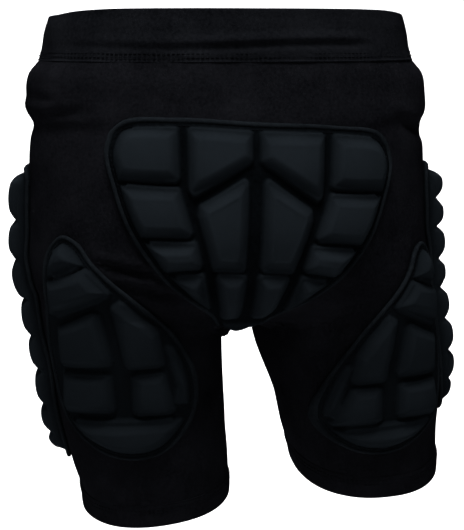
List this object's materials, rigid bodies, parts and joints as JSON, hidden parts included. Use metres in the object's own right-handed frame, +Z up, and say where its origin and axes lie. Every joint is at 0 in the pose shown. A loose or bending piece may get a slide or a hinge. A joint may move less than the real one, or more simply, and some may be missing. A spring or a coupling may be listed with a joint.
{
  "type": "hip pad",
  "caption": "Padded hip protector shorts in stretch cloth, with a shield-shaped seat pad, teardrop thigh pads and long hip pads made of raised foam lobes.",
  "frame": {"origin": "middle of the waist opening, at half the waistband's height", "axes": "+Z up along the wearer's body, -Y towards the seat pad, +Y towards the belly, +X towards the wearer's right hip"},
  "size_m": [0.3753, 0.2437, 0.4101],
  "materials": {
    "cloth": "matte black stretch knit",
    "trim": "matte black elastic band",
    "foam": "matte black knit moulded over foam",
    "cord": "matte black piping"
  },
  "bodies": {
    "root": {"shorts_body": "cloth", "waistband": "trim", "hem_left": "trim", "hem_right": "trim", "seat_pad": "foam", "seat_pad_edging": "cord", "thigh_pad_left": "foam", "thigh_pad_left_edging": "cord", "thigh_pad_right": "foam", "thigh_pad_right_edging": "cord", "hip_pad_left": "foam", "hip_pad_left_edging": "cord", "hip_pad_right": "foam", "hip_pad_right_edging": "cord"}
  },
  "joints": []
}
